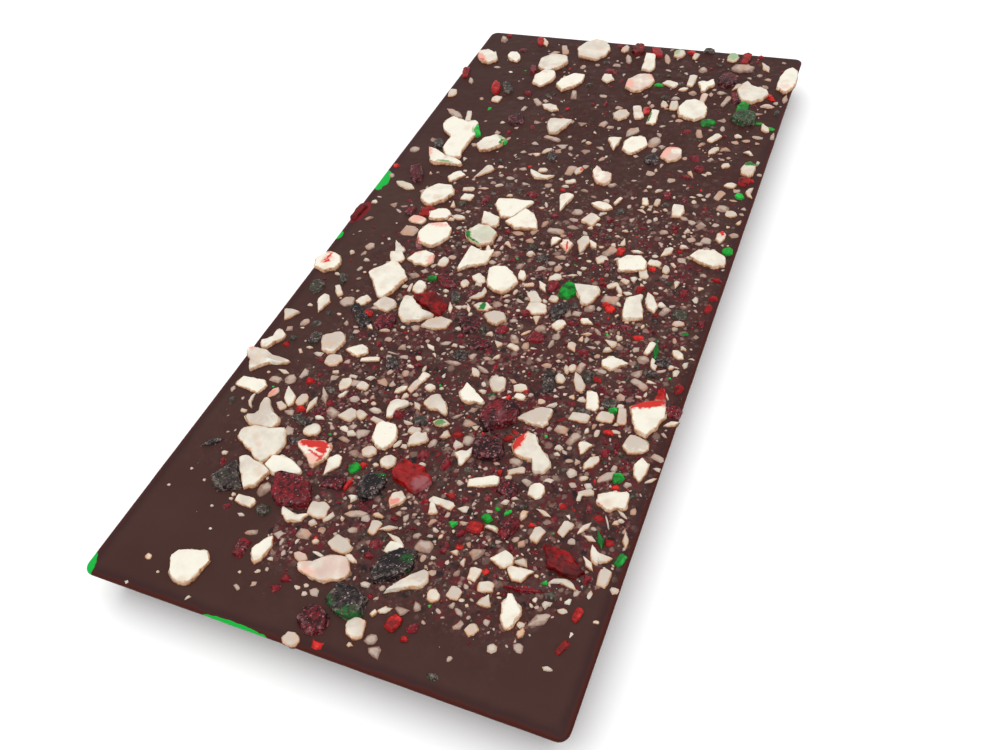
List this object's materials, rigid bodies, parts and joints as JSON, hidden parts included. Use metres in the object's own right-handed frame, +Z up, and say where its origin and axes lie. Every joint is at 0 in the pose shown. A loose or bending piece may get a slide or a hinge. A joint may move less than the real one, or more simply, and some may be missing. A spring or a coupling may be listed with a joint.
{
  "type": "chocolate bar with crushed peppermint candy",
  "caption": "Flat rectangular dark chocolate bar lying face up, its open face topped with crushed white, red and green peppermint candy.",
  "frame": {"origin": "middle of the flat underside", "axes": "+X across the bar, +Y along it and away from the viewer in the picture, +Z up out of the candy side"},
  "size_m": [0.0758, 0.1605, 0.0083],
  "materials": {
    "chocolate_and_candy": "satin dark chocolate with glossy crushed candy"
  },
  "bodies": {
    "root": {"chocolate_bar": "chocolate_and_candy"}
  },
  "joints": []
}
